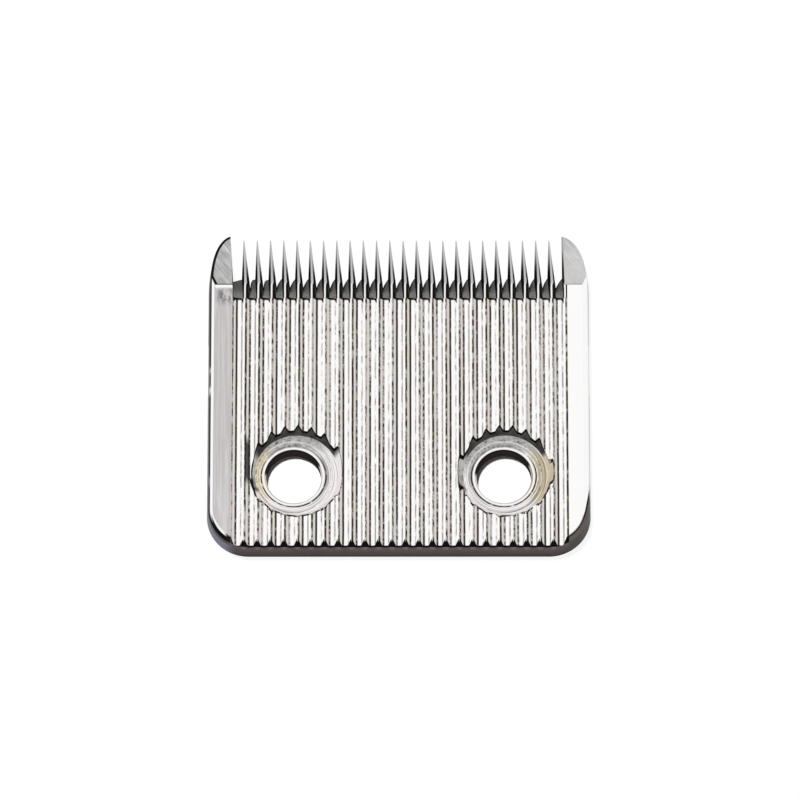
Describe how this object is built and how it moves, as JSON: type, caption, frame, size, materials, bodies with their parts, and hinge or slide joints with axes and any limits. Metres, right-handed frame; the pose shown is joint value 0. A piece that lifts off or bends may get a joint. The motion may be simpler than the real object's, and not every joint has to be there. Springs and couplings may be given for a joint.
{
  "type": "hair clipper blade",
  "caption": "Ribbed steel comb blade for a hair clipper, with tapered teeth, guard lugs at both ends and recessed screw seats.",
  "frame": {"origin": "on the flat running face, midway between the two screw holes", "axes": "+X along the row of teeth, +Y from the screw holes towards the tooth tips, +Z out of the ribbed skin side"},
  "size_m": [0.0494, 0.0445, 0.0035],
  "materials": {
    "steel": "ground, with fine lines along the teeth"
  },
  "bodies": {
    "root": {"comb_blade": "steel"}
  },
  "joints": []
}
